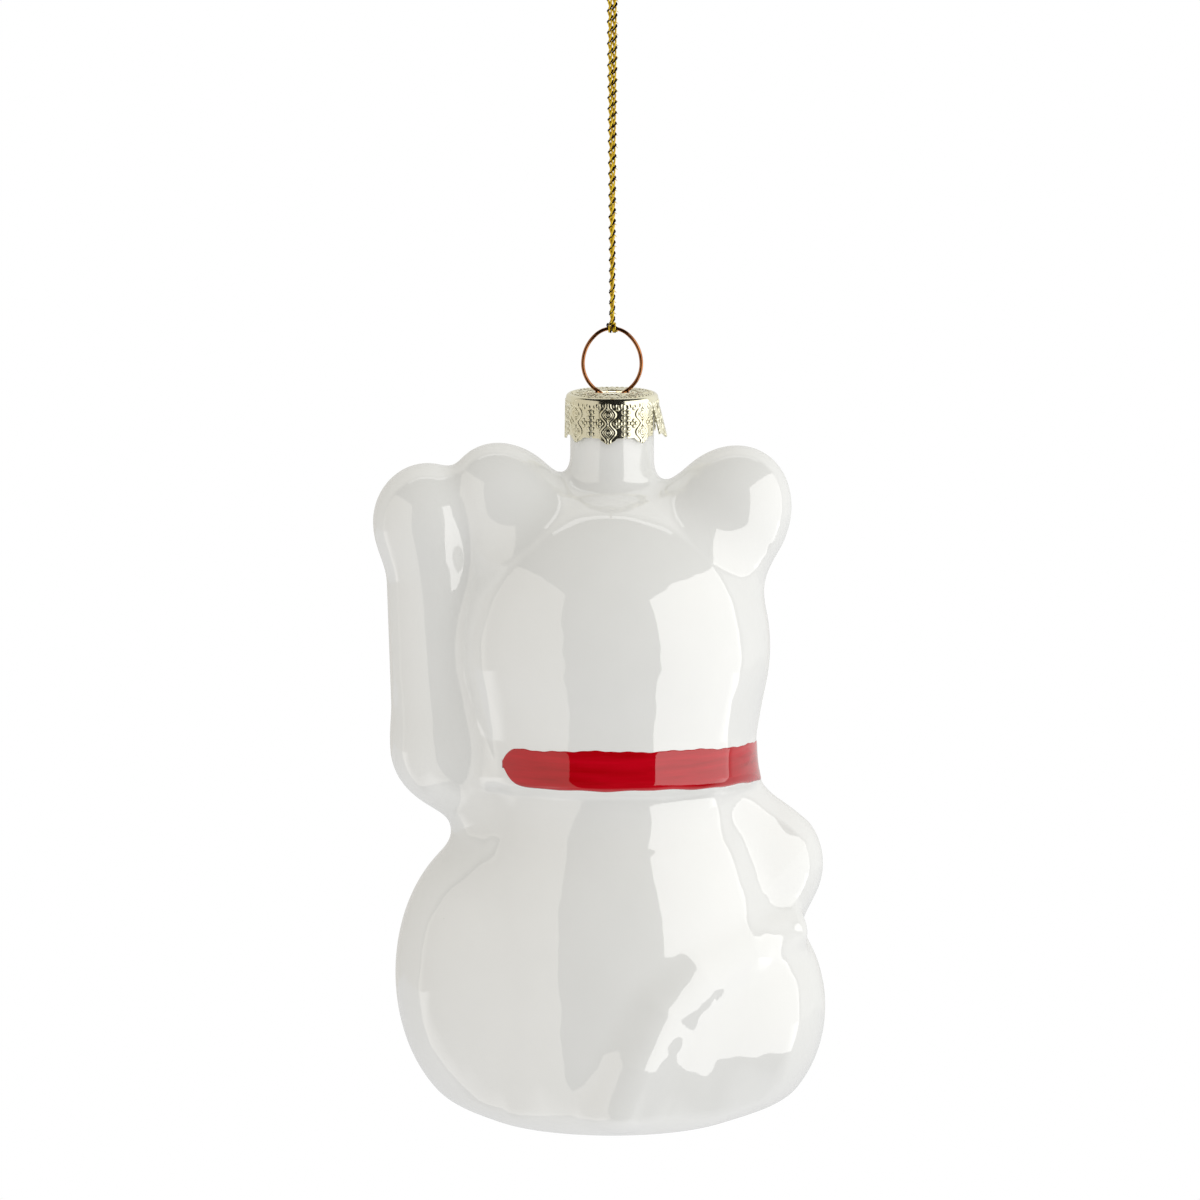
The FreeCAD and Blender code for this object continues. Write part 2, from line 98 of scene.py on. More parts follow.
# one end, its radius, the other end, its radius, blend
LIMBS = {
    "left_shoulder": ((11.0, -1.0, 45.0), 9.0, (24.2, -1.0, 58.0), 9.0, 5),
    "left_arm": ((24.5, -1.0, 57.0), 9.2, (27.9, -1.0, 92.0), 6.9, 2.5),
    "right_upper_arm": ((-15.0, -1.0, 49.0), 6.8, (-22.4, -3.5, 38.6), 9.9, 5),
    "right_forearm": ((-22.0, -4.0, 38.0), 9.0, (-6.5, -20.5, 35.5), 6.0, 3),
}
TAIL = [
    ((-1.0, 20.6, 5.5), 4.1),
    ((-3.6, 21.8, 12.5), 3.8),
    ((-7.3, 21.6, 20.6), 3.5),
    ((-12.6, 19.2, 25.3), 3.2),
    ((-19.6, 13.8, 28.3), 3.0),
    ((-27.0, 5.2, 29.6), 2.6),
]
TAIL_BLEND = 3.6
COLLAR_Z = 55.3
COLLAR_TILT = 0.09       # how much higher it stands per mm towards the back
COLLAR_FLARE = 0.15      # how much wider it is per mm downwards
COLLAR_HALF = 3.2        # half of its height
COLLAR_RX = 21.9
COLLAR_RY = 21.0
COLLAR_ROUND = 2.0
COLLAR_BLEND = 1.8
COLLAR_ENDS = (40.0, 320.0)      # of its paint, in degrees from +X

CELL = 0.56      # size of the glass mesh's faces

# ---------------------------------------------------------------- the cat as one smooth mass


def smooth_min(a, b, blend):
    """The lower of a and b, rounded where they are within blend of each other."""
    gap = np.maximum(blend - np.abs(a - b), 0.0)
    return np.minimum(a, b) - gap * gap / (4.0 * blend)


def mass(p, centre, radii, lean):
    """About how far points are outside an ellipsoid that leans towards +X."""
    x, y, z = (p[..., i] - centre[i] for i in range(3))
    turn = math.radians(lean)
    x, z = x * math.cos(turn) - z * math.sin(turn), x * math.sin(turn) + z * math.cos(turn)
    k = np.sqrt((x / radii[0]) ** 2 + (y / radii[1]) ** 2 + (z / radii[2]) ** 2)
    slope = np.sqrt(
        (x / radii[0] ** 2) ** 2 + (y / radii[1] ** 2) ** 2 + (z / radii[2] ** 2) ** 2
    )
    return k * (k - 1.0) / np.maximum(slope, TINY)


def limb(p, a, ra, b, rb):
    """About how far points are outside a bar from a to b with round ends of radii ra and rb."""
    along = np.subtract(b, a)
    off = p - np.asarray(a, p.dtype)
    t = np.clip(off @ along / (along @ along), 0.0, 1.0)
    off = off - t[..., None] * along
    return np.sqrt((off * off).sum(-1)) - ra - (rb - ra) * t


def tail_ridge(p):
    bars = [limb(p, a, ra, b, rb) for (a, ra), (b, rb) in zip(TAIL, TAIL[1:])]
    return np.minimum.reduce(bars)


def collar_ridge(p):
    """The raised band of glass that the collar is painted on."""
    band = (np.hypot(p[..., 0] / COLLAR_RX, p[..., 1] / COLLAR_RY) - 1.0) * COLLAR_RY
    rise = p[..., 2] - COLLAR_Z - COLLAR_TILT * p[..., 1]
    return -smooth_min(-band - COLLAR_FLARE * rise, COLLAR_HALF - np.abs(rise), COLLAR_ROUND)


def outside(p):
    """About how far points are outside the glass, in mm. It is below zero inside."""
    cat = p - np.array([0.0, BODY_SHIFT, 0.0])
    d = None
    for centre, radii, lean, blend in MASSES.values():
        near = mass(cat, centre, radii, lean)
        d = near if d is None else smooth_min(d, near, blend)
    for a, ra, b, rb, blend in LIMBS.values():
        d = smooth_min(d, limb(cat, a, ra, b, rb), blend)
    d = smooth_min(d, tail_ridge(cat), TAIL_BLEND)
    d = -smooth_min(-d, p[..., 2], BASE_ROUND)
    d = smooth_min(d, collar_ridge(cat), COLLAR_BLEND)
    radius = np.hypot(p[..., 0], p[..., 1])
    neck = np.maximum(radius - NECK_R, NECK_FOOT - p[..., 2])
    return smooth_min(d, neck, NECK_BLEND)


def opened(p):
    """outside, with the neck cut level and its bore left open."""
    radius = np.hypot(p[..., 0], p[..., 1])
    bore = np.maximum(radius - NECK_BORE_R, NECK_BORE_FOOT - p[..., 2])
    d = np.maximum(outside(p), -bore)
    return -smooth_min(-d, NECK_TOP - p[..., 2], NECK_LIP_ROUND)


def slope_of(shape, p, step=0.05):
    """How fast shape grows along X, Y and Z at points."""
    steps = np.eye(3) * step
    return np.stack([shape(p + s) - shape(p - s) for s in steps], -1) / (2.0 * step)


def settled(shape, p, rounds=4):
    """Points moved onto the surface where shape is zero, and its outward directions there."""
    for _ in range(rounds):
        g = slope_of(shape, p)
        p = p - g * (shape(p) / np.maximum((g * g).sum(-1), TINY))[..., None]
    g = slope_of(shape, p)
    return p, g / np.linalg.norm(g, axis=-1, keepdims=True)


def cast(start, way, rounds=60, caution=0.9):
    """Where rays from inside the cat first come out of it."""
    p = np.array(start, float)
    way = np.broadcast_to(np.asarray(way, float), p.shape)
    for _ in range(rounds):
        p = p - caution * outside(p)[..., None] * way
    return p


# ---------------------------------------------------------------- mesh and object helpers


def row_points(p):
    """Points from the part's layout in mm to the row frame in metres."""
    return (np.asarray(p, float) + (0.0, 0.0, BASE_Z)) * MM


def piece(name, mesh_data, materials, body, replaces=(), marks=None, normals=None):
    """A mesh piece of the part, from points in mm and faces."""
    points, faces = mesh_data
    places = row_points(points).tolist()
    mesh = bpy.data.meshes.new(name)
    mesh.from_pydata(places, [], np.asarray(faces).tolist())
    for m in materials:
        mesh.materials.append(m)
    if marks is not None:
        mesh.polygons.foreach_set("material_index", np.asarray(marks, np.int32))
    mesh.polygons.foreach_set("use_smooth", [True] * len(mesh.polygons))
    if normals is not None:
        mesh.normals_split_custom_set_from_vertices(np.asarray(normals).tolist())
    mesh.update()
    obj = bpy.data.objects.new(name, mesh)
    bpy.context.collection.objects.link(obj)
    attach(obj, body)
    if replaces:
        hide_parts(*replaces)
    return obj


def grid_faces(rows, columns, wrap_rows=False, wrap_columns=False):
    """Quads between neighbours of a grid of points that is numbered row by row."""
    i, j = np.meshgrid(
        np.arange(rows if wrap_rows else rows - 1),
        np.arange(columns if wrap_columns else columns - 1),
        indexing="ij",
    )
    down, right = (i + 1) % rows, (j + 1) % columns
    quads = [i * columns + j, i * columns + right, down * columns + right, down * columns + j]
    return np.stack(quads, -1).reshape(-1, 4)


def joined(parts):
    """Several (points, faces) as one, with the number of the part that each face is from."""
    points, faces, marks = [], [], []
    first = 0
    for number, (p, f) in enumerate(parts):
        points.append(p)
        faces.append(np.asarray(f) + first)
        marks.append(np.full(len(f), number))
        first += len(p)
    return (np.concatenate(points), np.concatenate(faces)), np.concatenate(marks)


def unit(v):
    return v / np.linalg.norm(v, axis=-1, keepdims=True)


def arc_lengths(path):
    steps = np.linalg.norm(np.diff(path, axis=0), axis=1)
    return np.concatenate([[0.0], np.cumsum(steps)])


def resampled(path, step):
    """The same path, with points about step apart."""
    s = arc_lengths(path)
    marks = np.linspace(0.0, s[-1], max(3, int(s[-1] / step)))
    return np.stack([np.interp(marks, s, path[:, i]) for i in range(3)], -1)


SKEW = (1.0, 0.1, 0.05)          # a direction that no bar here is parallel to


def across(path, first=(1.0, 0.0, 0.0)):
    """Two directions square to a path at each of its points, which don't twist along it."""
    tangents = unit(np.gradient(path, axis=0))
    normals = np.empty_like(path)
    n = np.asarray(first, float)
    for i, t in enumerate(tangents):
        n = n - (n @ t) * t
        n = n / np.linalg.norm(n)
        normals[i] = n
    return normals, np.cross(tangents, normals)


def beside(path, angles, offsets, first=(1.0, 0.0, 0.0)):
    """A path that stands off another, by offsets at angles round it."""
    a, b = across(path, first)
    u, v = offsets * np.cos(angles), offsets * np.sin(angles)
    return path + u[:, None] * a + v[:, None] * b


def swept(path, radii, sides=8):
    """A round bar along a path, with closed ends: its points and faces."""
    a, b = across(path, SKEW)
    turns = np.linspace(0.0, 2.0 * math.pi, sides, endpoint=False)
    u, v = np.cos(turns)[None, :, None], np.sin(turns)[None, :, None]
    radii = np.broadcast_to(radii, len(path))[:, None, None]
    points = (path[:, None] + radii * (u * a[:, None] + v * b[:, None])).reshape(-1, 3)
    faces = grid_faces(len(path), sides, wrap_columns=True)
    last = (len(path) - 1) * sides
    ends = np.array([[i - 1, sides - i, sides - i - 1, i] for i in range(1, sides // 2)])
    return points, np.concatenate([faces, ends, last + ends[:, ::-1]])


# ---------------------------------------------------------------- materials

# scales of noise are in cycles per metre, and depths of bumps in mm
PEARL_DEEP = (0.90, 0.903, 0.89)
PEARL_LIGHT = (0.94, 0.943, 0.932)
PEARL_CLOUDS = 45.0
PINHOLES = 1500.0
PINHOLE_TINT = (0.55, 0.54, 0.52)
PINHOLE_LEVEL = 0.21             # of the noise, below which there is one
GLASS_WAVES = 85.0
GLASS_WAVE_DEPTH = 0.36
BORE_PAINTED_GLOW_TINT = (0.92, 0.92, 0.90)   # of the painted glow inside the neck, which stands in for daylight through the glass
# strength of that painted glow
BORE_PAINTED_GLOW = 0.7
BORE_MARGIN = 0.3
RED_DEEP = (0.42, 0.0, 0.002)
RED_LIGHT = (0.62, 0.001, 0.012)
RED_STREAKS = (60.0, 60.0, 700.0)
RED_STREAK_DEPTH = 0.018
LACQUER_CLOUDS = 500.0
LACQUER_GRAIN = 900.0
LACQUER_GRAIN_DEPTH = 0.02
LACQUER_SHADE = 0.8              # its deeper tone, as a share of its base
THREAD_CLOUDS = 2600.0
THREAD_SHADE = 0.4

# places of a Mix node's sockets, for colours
MIX_SHARE = 0
MIX_FIRST = 6
MIX_SECOND = 7
MIX_RESULT = 2


def material(name):
    """A new material, its node tree and its Principled node."""
    m = bpy.data.materials.new(name)
    m.use_nodes = True
    return m, m.node_tree, m.node_tree.nodes["Principled BSDF"]


def set_inputs(node, **values):
    for key, value in values.items():
        node.inputs[key.replace("_", " ")].default_value = value


def colour(r, g, b):
    return (r, g, b, 1.0)


def plug(tree, value, socket):
    """Links an output to a socket, or sets its value."""
    if isinstance(value, bpy.types.NodeSocket):
        tree.links.new(value, socket)
    else:
        socket.default_value = value


def coordinates(tree, kind="Object"):
    """The object's own coordinates, or another kind."""
    return tree.nodes.new("ShaderNodeTexCoord").outputs[kind]


def split(tree, vector):
    """The X, Y and Z outputs of a vector."""
    separate = tree.nodes.new("ShaderNodeSeparateXYZ")
    tree.links.new(vector, separate.inputs[0])
    return separate.outputs


def place(tree, stretch=(1.0, 1.0, 1.0)):
    """The object's own coordinates, stretched."""
    mapping = tree.nodes.new("ShaderNodeMapping")
    mapping.inputs["Scale"].default_value = stretch
    tree.links.new(coordinates(tree), mapping.inputs["Vector"])
    return mapping.outputs["Vector"]


def noise(tree, vector, scale, detail=3.0, roughness=0.5):
    n = tree.nodes.new("ShaderNodeTexNoise")
    set_inputs(n, Scale=scale, Detail=detail, Roughness=roughness)
    tree.links.new(vector, n.inputs["Vector"])
    return n.outputs["Fac"]


def ramp(tree, fac, *stops):
    """Colours by a factor from 0 to 1."""
    r = tree.nodes.new("ShaderNodeValToRGB")
    elements = r.color_ramp.elements
    elements[0].position, elements[0].color = stops[0]
    elements[1].position, elements[1].color = stops[-1]
    for position, value in stops[1:-1]:
        elements.new(position).color = value
    tree.links.new(fac, r.inputs["Fac"])
    return r.outputs["Color"]


def two_tone(tree, cloud, deep, light, spread=0.2):
    """Drifts from deep to light as a noise goes from spread below its middle to spread above."""
    return ramp(tree, cloud, (0.5 - spread, colour(*deep)), (0.5 + spread, colour(*light)))


def arithmetic(tree, operation, a, b=0.0):
    m = tree.nodes.new("ShaderNodeMath")
    m.operation = operation
    plug(tree, a, m.inputs[0])
    plug(tree, b, m.inputs[1])
    return m.outputs[0]


def mixed(tree, share, a, b, blend="MIX"):
    """Colour a where share is 0, and its blend with b where share is 1."""
    mix = tree.nodes.new("ShaderNodeMix")
    mix.data_type = "RGBA"
    mix.blend_type = blend
    for socket, value in ((MIX_SHARE, share), (MIX_FIRST, a), (MIX_SECOND, b)):
        plug(tree, value, mix.inputs[socket])
    return mix.outputs[MIX_RESULT]


def multiplied(tree, a, b):
    """The product of two colours."""
    return mixed(tree, 1.0, a, b, "MULTIPLY")


def bump(tree, height, depth):
    """A bumped normal from heights of 0 to 1 that stand for depth in mm."""
    b = tree.nodes.new("ShaderNodeBump")
    b.inputs["Distance"].default_value = depth * MM
    tree.links.new(height, b.inputs["Height"])
    return b.outputs["Normal"]


def inside_neck(tree):
    """1 inside the neck's bore, where a painted glow stands in for daylight through the glass,
    and 0 elsewhere.
    """
    where = split(tree, coordinates(tree))
    flat = tree.nodes.new("ShaderNodeCombineXYZ")
    for axis in "XY":
        tree.links.new(where[axis], flat.inputs[axis])
    reach = tree.nodes.new("ShaderNodeVectorMath")
    reach.operation = "LENGTH"
    tree.links.new(flat.outputs[0], reach.inputs[0])
    wide = (NECK_BORE_R + BORE_MARGIN) * MM
    foot = (BASE_Z + NECK_BORE_FOOT - 1.0) * MM
    near = arithmetic(tree, "LESS_THAN", reach.outputs["Value"], wide)
    high = arithmetic(tree, "GREATER_THAN", where["Z"], foot)
    return arithmetic(tree, "MULTIPLY", near, high)


def pearl_glass():
    """Clear gloss glass over white pearl lacquer, with the slow waves of blown glass, and a
    painted glow inside the neck's bore.
    """
    m, tree, shader = material("pearl_glass")
    where = place(tree)
    cloud = noise(tree, where, PEARL_CLOUDS, detail=4.0, roughness=0.6)
    pearl = two_tone(tree, cloud, PEARL_DEEP, PEARL_LIGHT)
    specks = noise(tree, where, PINHOLES, detail=2.0)
    holes = ramp(tree, specks, (0.0, colour(*PINHOLE_TINT)), (PINHOLE_LEVEL, colour(1, 1, 1)))
    tree.links.new(multiplied(tree, pearl, holes), shader.inputs["Base Color"])
    slow = noise(tree, where, GLASS_WAVES, detail=2.0, roughness=0.45)
    tree.links.new(bump(tree, slow, GLASS_WAVE_DEPTH), shader.inputs["Coat Normal"])
    # painted light: the glass inside the neck's bore glows, standing in for daylight through it
    shader.inputs["Emission Color"].default_value = colour(*BORE_PAINTED_GLOW_TINT)
    painted_glow = arithmetic(tree, "MULTIPLY", inside_neck(tree), BORE_PAINTED_GLOW)
    tree.links.new(painted_glow, shader.inputs["Emission Strength"])
    set_inputs(shader, Roughness=0.55, Specular_IOR_Level=0.3)
    set_inputs(shader, Coat_Weight=1.0, Coat_Roughness=0.012, Coat_IOR=2.0)
    return m


def red_lacquer():
    """Hand-brushed red, with streaks along the collar."""
    m, tree, shader = material("red_lacquer")
    streaks = noise(tree, place(tree, RED_STREAKS), 1.0, detail=4.0, roughness=0.6)
    tree.links.new(two_tone(tree, streaks, RED_DEEP, RED_LIGHT), shader.inputs["Base Color"])
    tree.links.new(bump(tree, streaks, RED_STREAK_DEPTH), shader.inputs["Coat Normal"])
    set_inputs(shader, Roughness=0.6, Specular_IOR_Level=0.0)
    set_inputs(shader, Coat_Weight=1.0, Coat_Roughness=0.025, Coat_IOR=1.75)
    return m


def lacquer(name, base):
    m, tree, shader = material(name)
    where = place(tree)
    cloud = noise(tree, where, LACQUER_CLOUDS, roughness=0.6)
    deep = [LACQUER_SHADE * c for c in base]
    tree.links.new(two_tone(tree, cloud, deep, base), shader.inputs["Base Color"])
    grain = noise(tree, where, LACQUER_GRAIN, detail=2.0)
    tree.links.new(bump(tree, grain, LACQUER_GRAIN_DEPTH), shader.inputs["Normal"])
    set_inputs(shader, Roughness=0.25, Coat_Weight=0.8, Coat_Roughness=0.05)
    return m


def dull_thread(name, base):
    m, tree, shader = material(name)
    cloud = noise(tree, place(tree), THREAD_CLOUDS)
    deep = [THREAD_SHADE * c for c in base]
    tree.links.new(two_tone(tree, cloud, deep, base, 0.15), shader.inputs["Base Color"])
    set_inputs(shader, Roughness=0.9, Specular_IOR_Level=0.05)
    return m


def metal(name, base, deep, roughness, grain=900.0, depth=0.01, metallic=1.0):
    m, tree, shader = material(name)
    cloud = noise(tree, place(tree), grain, roughness=0.6)
    tree.links.new(two_tone(tree, cloud, deep, base, 0.15), shader.inputs["Base Color"])
    tree.links.new(bump(tree, cloud, depth), shader.inputs["Normal"])
    set_inputs(shader, Metallic=metallic, Roughness=roughness)
    return m


GLASS = pearl_glass()
RED = red_lacquer()
PINK = lacquer("pink_lacquer", (0.80, 0.36, 0.36))
BLACK = lacquer("black_lacquer", (0.02, 0.02, 0.022))
# light and deep tints, roughness, then the grain's scale and depth, and how metallic it is
GOLD_PAINT = metal("gold_lacquer", (0.83, 0.58, 0.20), (0.62, 0.40, 0.12), 0.3)
TINPLATE = metal("champagne_tinplate", (0.99, 0.96, 0.76), (0.95, 0.90, 0.66), 0.13, 300.0, 0.004)
COPPER = metal("copper_wire", (0.60, 0.25, 0.09), (0.36, 0.13, 0.05), 0.12, 700.0, 0.004)
LUREX = metal("gold_cord", (1.0, 0.74, 0.03), (0.62, 0.34, 0.005), 0.28, 2600.0, 0.05, 0.35)
DARK_THREAD = dull_thread("gold_cord_dark", (0.02, 0.008, 0.010))

# ---------------------------------------------------------------- blown glass

ROOM_LOW = (-38.0, -33.0, -2.0)            # a box that holds the whole cat
ROOM_HIGH = (40.0, 32.0, NECK_TOP + 2.0)


def glass_cat():
    low, high = np.array(ROOM_LOW), np.array(ROOM_HIGH)
    counts = np.ceil((high - low) / CELL).astype(int)
    axes = [low[i] + CELL * np.arange(counts[i]) for i in range(3)]
    field = np.empty(counts, np.float32)
    for i, x in enumerate(axes[0]):
        slab = np.stack(np.meshgrid([x], axes[1], axes[2], indexing="ij"), -1)
        field[i] = opened(slab)[0]
    grid = openvdb.FloatGrid()
    grid.copyFromArray(field)
    points, quads = grid.convertToQuads(0.0)
    points, normals = settled(opened, low + CELL * points)
    replaces = ["glass_body", "pearl_lining"]
    piece("cat_glass", (points, quads), [GLASS], "cat", replaces, normals=normals)


# ---------------------------------------------------------------- coats of paint

PAINT = 0.10             # thickness of a coat
PAINT_ROOT = 0.15        # how far its underside is inside the glass
PAINT_EDGE = 0.02        # how far its edge is inside the glass
FRONT = (0.0, -1.0, 0.0)         # the way the cat faces
FRONT_START = BODY_SHIFT - 2.0   # Y of the places inside the cat that rays to its front start at
SPOT_RIPPLES = (3, 7)            # waves round a spot's edge
SPOT_RIPPLE_SHARE = 0.6          # height of the second waves, as a share of the first
STROKE_TIP = 0.35                # width of a stroke's ends, as a share of its middle's
STROKE_FADE = 0.03               # how much of a stroke thins out at each end

COLLAR_COLUMNS = 521
COLLAR_ROWS = 33
COLLAR_INSET = 0.1               # from the edge of its ridge to the edge of its paint
COLLAR_END = 9.0                 # how much of its turn an end takes to round off, degrees
COLLAR_END_FADE = 0.05           # and to thin out, as a share of that
COLLAR_TIP = 0.003               # of the rounding, left at the very end
COLLAR_TAPER = 1.9               # how far the lower edge rises at its ends
COLLAR_TAPER_ENDS = 2.4          # how far from an end it starts to, in COLLAR_END
# height, count in a whole turn and phase of each wave in its edges
COLLAR_UPPER_WAVES = ((0.10, 9.0, 1.0), (0.07, 23.0, 0.0), (0.04, 57.0, 0.0))
COLLAR_LOWER_WAVES = ((0.10, 8.0, 2.0), (0.08, 19.0, 4.0))

# where each spot is, across and up, its half sizes and its lean in degrees
EARS = {"left": ((17.6, 95.4), (4.2, 6.0), 30), "right": ((-18.6, 94.6), (4.4, 6.4), -30)}
EYES = {"left": ((9.0, 77.0), (2.6, 3.2), 6), "right": ((-9.0, 77.0), (2.6, 3.2), -6)}
NOSE = ((0.0, 70.4), (1.9, 1.3))
BELL = ((0.0, 45.6), (3.7, 3.7))
KOBAN = ((5.0, 27.0), (6.6, 10.6), 12)
# places of the strokes on the cat's left side, across and up
MOUTH = ((0.3, 67.6), (1.4, 66.2), (2.9, 66.1), (4.1, 67.2))
WHISKERS = (
    ((11.0, 71.6), (14.5, 72.55), (18.0, 73.0)),
    ((11.0, 69.4), (14.5, 69.8), (18.0, 69.7)),
    ((11.0, 67.2), (14.5, 67.05), (18.0, 66.4)),
)
TOES = [[(x, 4.2), (x, 6.6), (x, 9.0)] for x in (10.2, 14.8)]


def coat(grid, fullness):
    """A film of paint over a grid of points of the glass. Where fullness is 1 it has its whole
    thickness, and where it is 0 it has run out."""
    grid, ways = settled(outside, grid)
    height = PAINT * np.sqrt(fullness) - PAINT_EDGE * (fullness <= 0.0)
    top = grid + ways * height[..., None]
    under = grid - ways * PAINT_ROOT
    rows, columns = grid.shape[:2]
    count = rows * columns
    face = grid_faces(rows, columns)
    rim = np.concatenate(
        [
            np.arange(columns - 1),
            np.arange(rows - 1) * columns + columns - 1,
            np.arange(columns - 1, 0, -1) + (rows - 1) * columns,
            np.arange(rows - 1, 0, -1) * columns,
        ]
    )
    following = np.roll(rim, -1)
    side = np.stack([rim, following, following + count, rim + count], -1)
    points = np.concatenate([top.reshape(-1, 3), under.reshape(-1, 3)])
    return points, np.concatenate([face[:, ::-1], face + count, side])


def place_coats(name, coats, paint, replaces):
    mesh_data, _ = joined([coat(*c) for c in coats])
    return piece(name, mesh_data, [paint], "cat", replaces)


def on_front(x, z):
    """The places of the cat's front that are at x across and z up."""
    start = np.stack([x, np.full_like(x, FRONT_START), z], -1)
    return cast(start, FRONT)


def waves(turn, *ripples):
    """A wavy line round a turn, from the height, count and phase of each of its ripples."""
    return sum(height * np.sin(count * turn + phase) for height, count, phase in ripples)


def spot(centre, radii, lean=0.0, wobble=0.03, steps=49):
    """A round or long spot of paint on the front, with a hand-painted edge."""
    a, b = np.meshgrid(np.linspace(-1, 1, steps), np.linspace(-1, 1, steps), indexing="ij")
    u, w = a * np.sqrt(1 - 0.5 * b * b), b * np.sqrt(1 - 0.5 * a * a)
    heights = (1.0, SPOT_RIPPLE_SHARE)
    ripple = waves(np.arctan2(w, u), *zip(heights, SPOT_RIPPLES, centre))
    size = 1.0 + wobble * ripple / sum(heights)
    along, up = u * size * radii[0], w * size * radii[1]
    tilt = math.radians(lean)
    x = centre[0] + along * math.cos(tilt) + up * math.sin(tilt)
    z = centre[1] + up * math.cos(tilt) - along * math.sin(tilt)
    fullness = np.clip(1.0 - np.hypot(u, w) ** 10, 0.0, 1.0)
    return on_front(x, z), fullness


def stroke(marks, half=0.22, steps=41, columns=9):
    """A brushed line on the front through places across and up, pointed at its ends."""
    marks = np.asarray(marks, float)
    s = arc_lengths(np.pad(marks, ((0, 0), (0, 1))))
    t = np.linspace(0.0, 1.0, steps)
    degree = len(marks) - 1
    curves = [np.polyval(np.polyfit(s / s[-1], marks[:, i], degree), t) for i in (0, 1)]
    line = np.stack(curves, -1)
    way = unit(np.gradient(line, axis=0))
    side = np.stack([-way[:, 1], way[:, 0]], -1)
    swell = np.sqrt(np.clip(4.0 * t * (1.0 - t), 0.0, 1.0))
    width = half * (STROKE_TIP + (1.0 - STROKE_TIP) * swell)
    v = np.linspace(-1.0, 1.0, columns)
    flat = line[:, None] + side[:, None] * (width[:, None] * v)[..., None]
    ends = np.minimum(t, 1.0 - t) / STROKE_FADE
    fullness = np.clip(np.minimum(1.0 - v[None] ** 4, ends[:, None]), 0.0, 1.0)
    return on_front(flat[..., 0], flat[..., 1]), fullness


def both_sides(marks):
    """A stroke on the cat's left side, and its mirror image on the right."""
    return [stroke([(side * x, z) for x, z in marks][::side]) for side in (1, -1)]


def collar_band():
    """The red collar, brushed by hand, with round ends where it meets the raised arm."""
    first, last = (math.radians(end) for end in COLLAR_ENDS)
    turn = np.linspace(first, last, COLLAR_COLUMNS)[:, None]
    v = np.linspace(-1.0, 1.0, COLLAR_ROWS)[None]
    from_end = np.minimum(turn - first, last - turn) / math.radians(COLLAR_END)
    rounding = 1.0 - (1.0 - np.minimum(from_end, 1.0)) ** 2
    share = np.sqrt(np.clip(rounding, COLLAR_TIP, 1.0))
    upper, lower = waves(turn, *COLLAR_UPPER_WAVES), waves(turn, *COLLAR_LOWER_WAVES)
    half = (COLLAR_HALF - COLLAR_INSET) * share + np.where(v > 0, upper, lower) * share
    taper = COLLAR_TAPER * np.clip(1.0 - from_end / COLLAR_TAPER_ENDS, 0.0, 1.0) ** 2
    middle = COLLAR_Z + COLLAR_TILT * COLLAR_RY * np.sin(turn)
    z = middle + half * v + taper * np.maximum(-v, 0.0)
    level = np.zeros_like(z)
    start = np.stack([level, np.full_like(z, BODY_SHIFT), z], -1)
    way = np.stack([level + np.cos(turn), level + np.sin(turn), level], -1)
    ends = np.clip(from_end / COLLAR_END_FADE, 0.0, 1.0)
    fullness = np.clip(np.minimum(1.0 - np.abs(v) ** 12, ends), 0.0, 1.0)
    return cast(start, way), fullness


def painted_details():
    place_coats("collar", [collar_band()], RED, ["collar_paint"])
    for side, ear in EARS.items():
        node = f"{side}_ear_paint"
        place_coats(f"{side}_ear_pink", [spot(*ear)], PINK, [node])
    for side, eye in EYES.items():
        place_coats(f"{side}_eye", [spot(*eye)], BLACK, [f"{side}_eye_paint"])
    place_coats("nose", [spot(*NOSE)], PINK, ["nose_paint"])
    place_coats("mouth", both_sides(MOUTH), BLACK, ["mouth_paint"])
    whiskers = [line for marks in WHISKERS for line in both_sides(marks)]
    place_coats("whiskers", whiskers, BLACK, ["whisker_paint"])
    toes = [line for marks in TOES for line in both_sides(marks)]
    place_coats("toe_lines", toes, BLACK, ["toe_line_paint"])
    place_coats("bell", [spot(*BELL)], GOLD_PAINT, ["bell_paint"])
    koban = spot(*KOBAN, wobble=0.015, steps=65)
    place_coats("koban", [koban], GOLD_PAINT, ["koban_paint"])


# ---------------------------------------------------------------- ornament cap

SHEET = 0.25
CAP_R = 6.8
CAP_TOP = 111.7
CAP_SKIRT = 5.9
LOBE = 0.9
LOBE_HALF = 1.3
LOBE_SHAPE = 0.7         # below 1 for a full lobe
PANELS = 8
SECTOR = 2.0 * math.pi / PANELS
CAP_TURN = 17.5          # of the first slit from +X, degrees
SLIT = 0.36
SLIT_TOP = 110.2
RIM_ROUND = 0.45
# radius and rise of the lip round the cap's hole
LIP = ((2.4, 0.0), (2.45, 0.2), (2.7, 0.2), (2.8, 0.06), (2.86, 0.0))
DISC_R = 2.92            # where the patterned part of the top starts
SWELL = 0.12             # how far the feet of the panels bulge outwards
SWELL_WIDTH = 1.7
BENT_PANEL = 3           # the panel that stands away from the neck
BENT_ANGLE = 13.0
BENT_ROOT = 0.8          # the height over which it curves
CAP_COLUMNS = 76        # of each panel
CAP_ROWS = 62           # below the slits' tops
DISC_ROWS = 44

